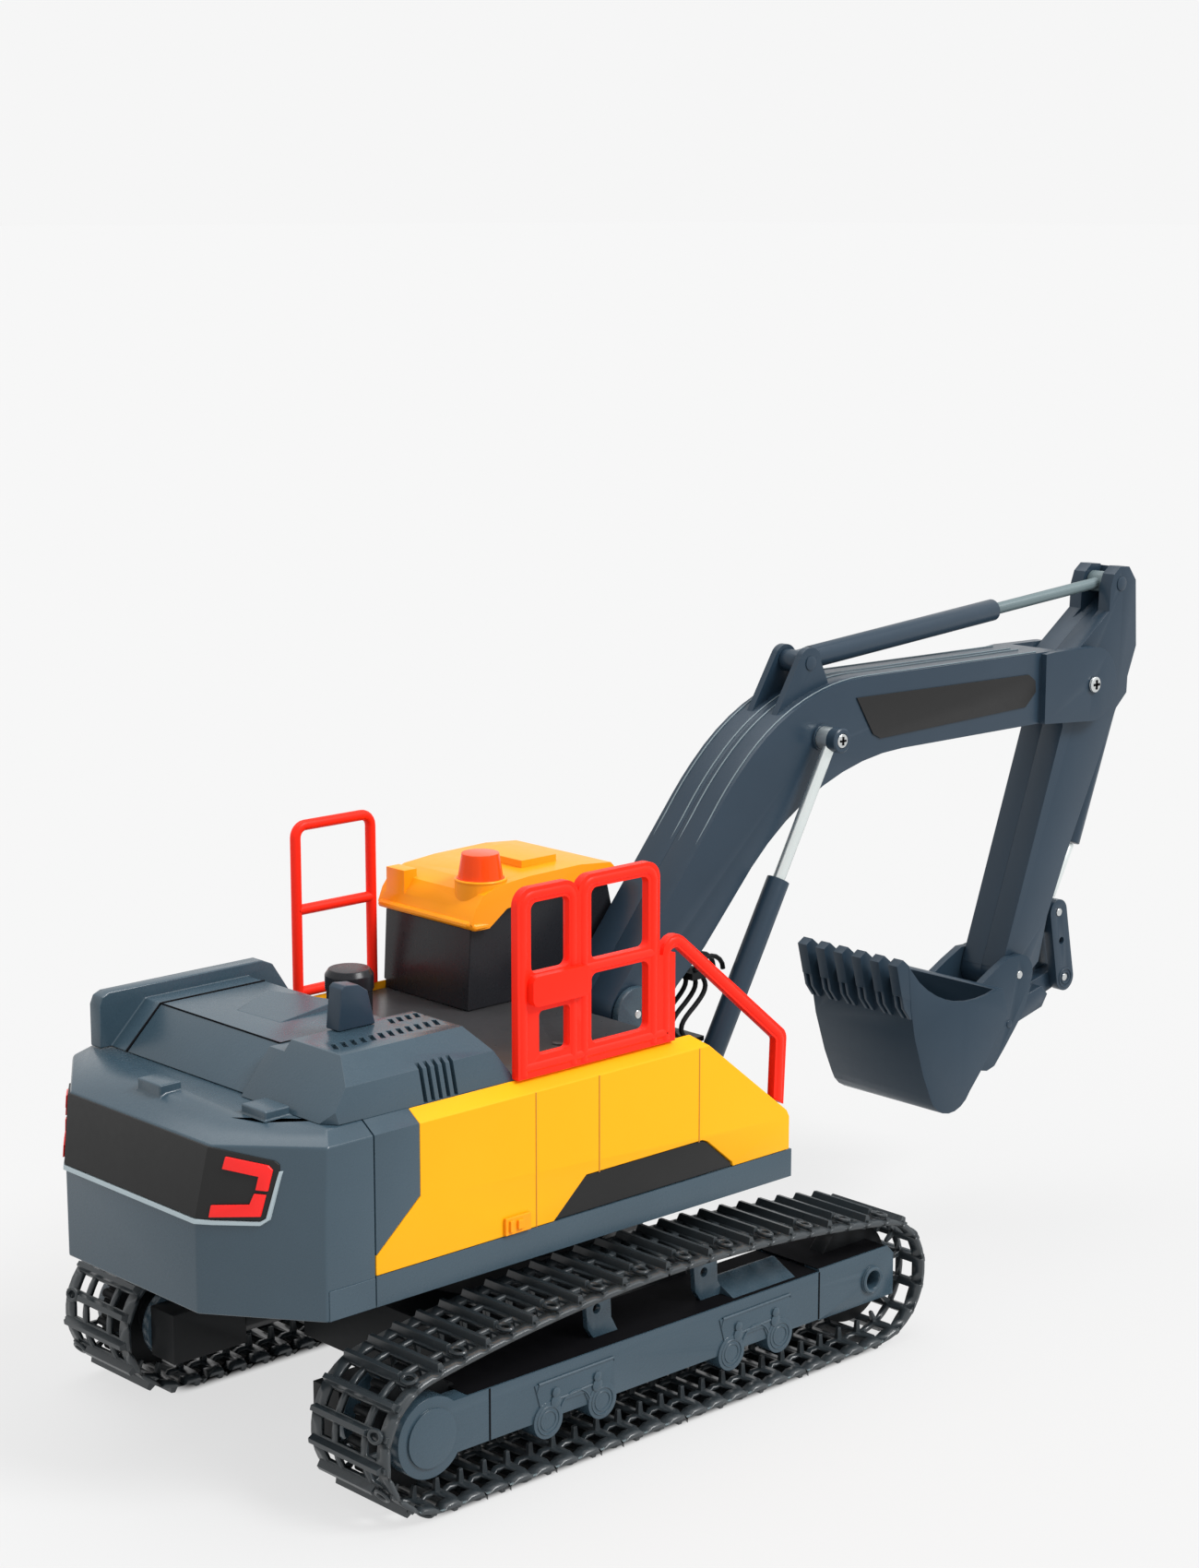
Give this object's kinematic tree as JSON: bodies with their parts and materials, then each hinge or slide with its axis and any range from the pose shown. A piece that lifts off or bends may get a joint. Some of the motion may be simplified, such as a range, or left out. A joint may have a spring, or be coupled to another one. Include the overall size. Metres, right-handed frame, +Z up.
{
  "type": "toy excavator",
  "caption": "Toy tracked excavator with a turning house, lifting boom, swinging arm, curling bucket and coupled hydraulic cylinders.",
  "frame": {"origin": "on the ground under the middle of the whole model, boom raised as at rest", "axes": "+X forward along the boom, +Y to the left, +Z up"},
  "size_m": [0.5988, 0.211, 0.3066],
  "materials": {
    "slate": "satin moulded ABS",
    "dark_slate": "satin moulded ABS",
    "black": "satin moulded ABS",
    "belt": "soft moulded track",
    "yellow": "satin moulded ABS",
    "rail_red": "satin moulded ABS",
    "cab_dark": "glossy moulded ABS",
    "charcoal": "printed label or dark trim",
    "silver_trim": "bright foil",
    "lamp_red": "glossy print",
    "beacon_amber": "translucent tinted plastic",
    "steel": "plated pins and screws",
    "rod_chrome": "bright plated",
    "grey_rod": "satin grey plastic",
    "cell": "printed battery sleeve",
    "board": "solder mask",
    "motor": "plain housing"
  },
  "bodies": {
    "undercarriage": {"chassis_frame": "black", "battery_cover": "black", "battery_pack": "cell", "slew_ring": "motor", "track_frame_left": "slate", "track_frame_right": "slate", "inner_frames": "slate", "track_belt_left": "belt", "track_belt_right": "belt", "drive_gearboxes": "black", "idler_axles": "steel", "frame_screws": "steel"},
    "sprocket_left": {"drive_sprocket_left": "charcoal"},
    "sprocket_right": {"drive_sprocket_right": "charcoal"},
    "idler_left": {"idler_wheel_left": "charcoal"},
    "idler_right": {"idler_wheel_right": "charcoal"},
    "switch": {"power_switch": "charcoal"},
    "house": {"house_floor": "slate", "deck": "charcoal", "counterweight": "slate", "engine_hood": "slate", "hood_door": "slate", "side_hood": "slate", "side_panel_left": "yellow", "side_panel_right": "yellow", "emblem_plates": "charcoal", "rear_label": "charcoal", "rear_stripe": "silver_trim", "tail_lamps": "lamp_red", "exhaust_fin": "dark_slate", "precleaner_cap": "dark_slate", "cab_shell": "cab_dark", "cab_roof": "yellow", "beacon": "beacon_amber", "handrail_left": "rail_red", "handrail_right": "rail_red", "circuit_board": "board", "swing_gearbox": "motor", "foot_pins": "steel"},
    "boom": {"boom_shell_left": "dark_slate", "boom_shell_right": "dark_slate", "boom_labels": "charcoal", "boom_pins": "steel", "hose_bundle": "black"},
    "lift_barrels": {"lift_barrel_left": "dark_slate", "lift_barrel_right": "dark_slate"},
    "lift_rods": {"lift_rod_left": "rod_chrome", "lift_rod_right": "rod_chrome"},
    "arm_cylinder_barrel": {"arm_barrel": "dark_slate"},
    "arm_cylinder_rod": {"arm_rod": "grey_rod"},
    "arm": {"arm_shell_left": "dark_slate", "arm_shell_right": "dark_slate", "arm_pins": "steel", "bucket_barrel": "dark_slate", "bucket_rod": "rod_chrome"},
    "crank": {"crank_lever": "dark_slate", "crank_link_pin": "steel"},
    "link": {"push_link": "dark_slate"},
    "bucket": {"bucket": "slate", "bucket_link_pin": "steel"}
  },
  "joints": [
    {"name": "house_slew", "type": "hinge", "parent": "undercarriage", "child": "house", "pos_m": [-0.1126, 0, 0.08], "axis": [0, 0, 1], "continuous": true},
    {"name": "sprocket_left_spin", "type": "hinge", "parent": "undercarriage", "child": "sprocket_left", "pos_m": [-0.2351, 0.083, 0.03], "axis": [0, 1, 0], "continuous": true},
    {"name": "sprocket_right_spin", "type": "hinge", "parent": "undercarriage", "child": "sprocket_right", "pos_m": [-0.2351, -0.083, 0.03], "axis": [0, 1, 0], "continuous": true},
    {"name": "idler_left_spin", "type": "hinge", "parent": "undercarriage", "child": "idler_left", "pos_m": [0.0099, 0.083, 0.03], "axis": [0, 1, 0], "continuous": true},
    {"name": "idler_right_spin", "type": "hinge", "parent": "undercarriage", "child": "idler_right", "pos_m": [0.0099, -0.083, 0.03], "axis": [0, 1, 0], "continuous": true},
    {"name": "switch_slide", "type": "slide", "parent": "undercarriage", "child": "switch", "axis": [1, 0, 0], "range_m": [0, 0.003]},
    {"name": "boom_lift", "type": "hinge", "parent": "house", "child": "boom", "pos_m": [-0.0526, 0, 0.143], "axis": [0, -1, 0], "range_deg": [-20, 10]},
    {"name": "lift_barrels_turn", "type": "hinge", "parent": "house", "child": "lift_barrels", "pos_m": [-0.0206, 0, 0.0997], "axis": [0, -1, 0], "range_deg": [-19, 10]},
    {"name": "lift_rods_turn", "type": "hinge", "parent": "boom", "child": "lift_rods", "pos_m": [0.0641, 0, 0.2482], "axis": [0, -1, 0], "range_deg": [-2, 3]},
    {"name": "arm_swing", "type": "hinge", "parent": "boom", "child": "arm", "pos_m": [0.2561, 0, 0.2516], "axis": [0, -1, 0], "range_deg": [-20, 16]},
    {"name": "arm_barrel_turn", "type": "hinge", "parent": "boom", "child": "arm_cylinder_barrel", "pos_m": [0.0634, 0, 0.281], "axis": [0, -1, 0], "range_deg": [-4, 4]},
    {"name": "arm_rod_turn", "type": "hinge", "parent": "arm", "child": "arm_cylinder_rod", "pos_m": [0.2844, 0, 0.298], "axis": [0, -1, 0], "range_deg": [-18, 19]},
    {"name": "bucket_curl", "type": "hinge", "parent": "arm", "child": "bucket", "pos_m": [0.2074, 0, 0.1135], "axis": [0, -1, 0], "range_deg": [-15, 45]},
    {"name": "crank_turn", "type": "hinge", "parent": "arm", "child": "crank", "pos_m": [0.2469, 0, 0.137], "axis": [0, -1, 0], "range_deg": [-11, 31]},
    {"name": "link_turn", "type": "hinge", "parent": "crank", "child": "link", "pos_m": [0.2534, 0, 0.1025], "axis": [0, -1, 0], "range_deg": [-23, 8]}
  ],
  "couplings": [
    {"joint": "idler_left_spin", "follows": "sprocket_left_spin", "ratio": 1},
    {"joint": "idler_right_spin", "follows": "sprocket_right_spin", "ratio": 1},
    {"joint": "lift_barrels_turn", "follows": "boom_lift", "ratio": 0.9},
    {"joint": "lift_rods_turn", "follows": "boom_lift", "ratio": -0.1},
    {"joint": "arm_barrel_turn", "follows": "arm_swing", "ratio": 0.146},
    {"joint": "arm_rod_turn", "follows": "arm_swing", "ratio": -0.854},
    {"joint": "crank_turn", "follows": "bucket_curl", "ratio": 0.667},
    {"joint": "link_turn", "follows": "bucket_curl", "ratio": -0.494}
  ]
}
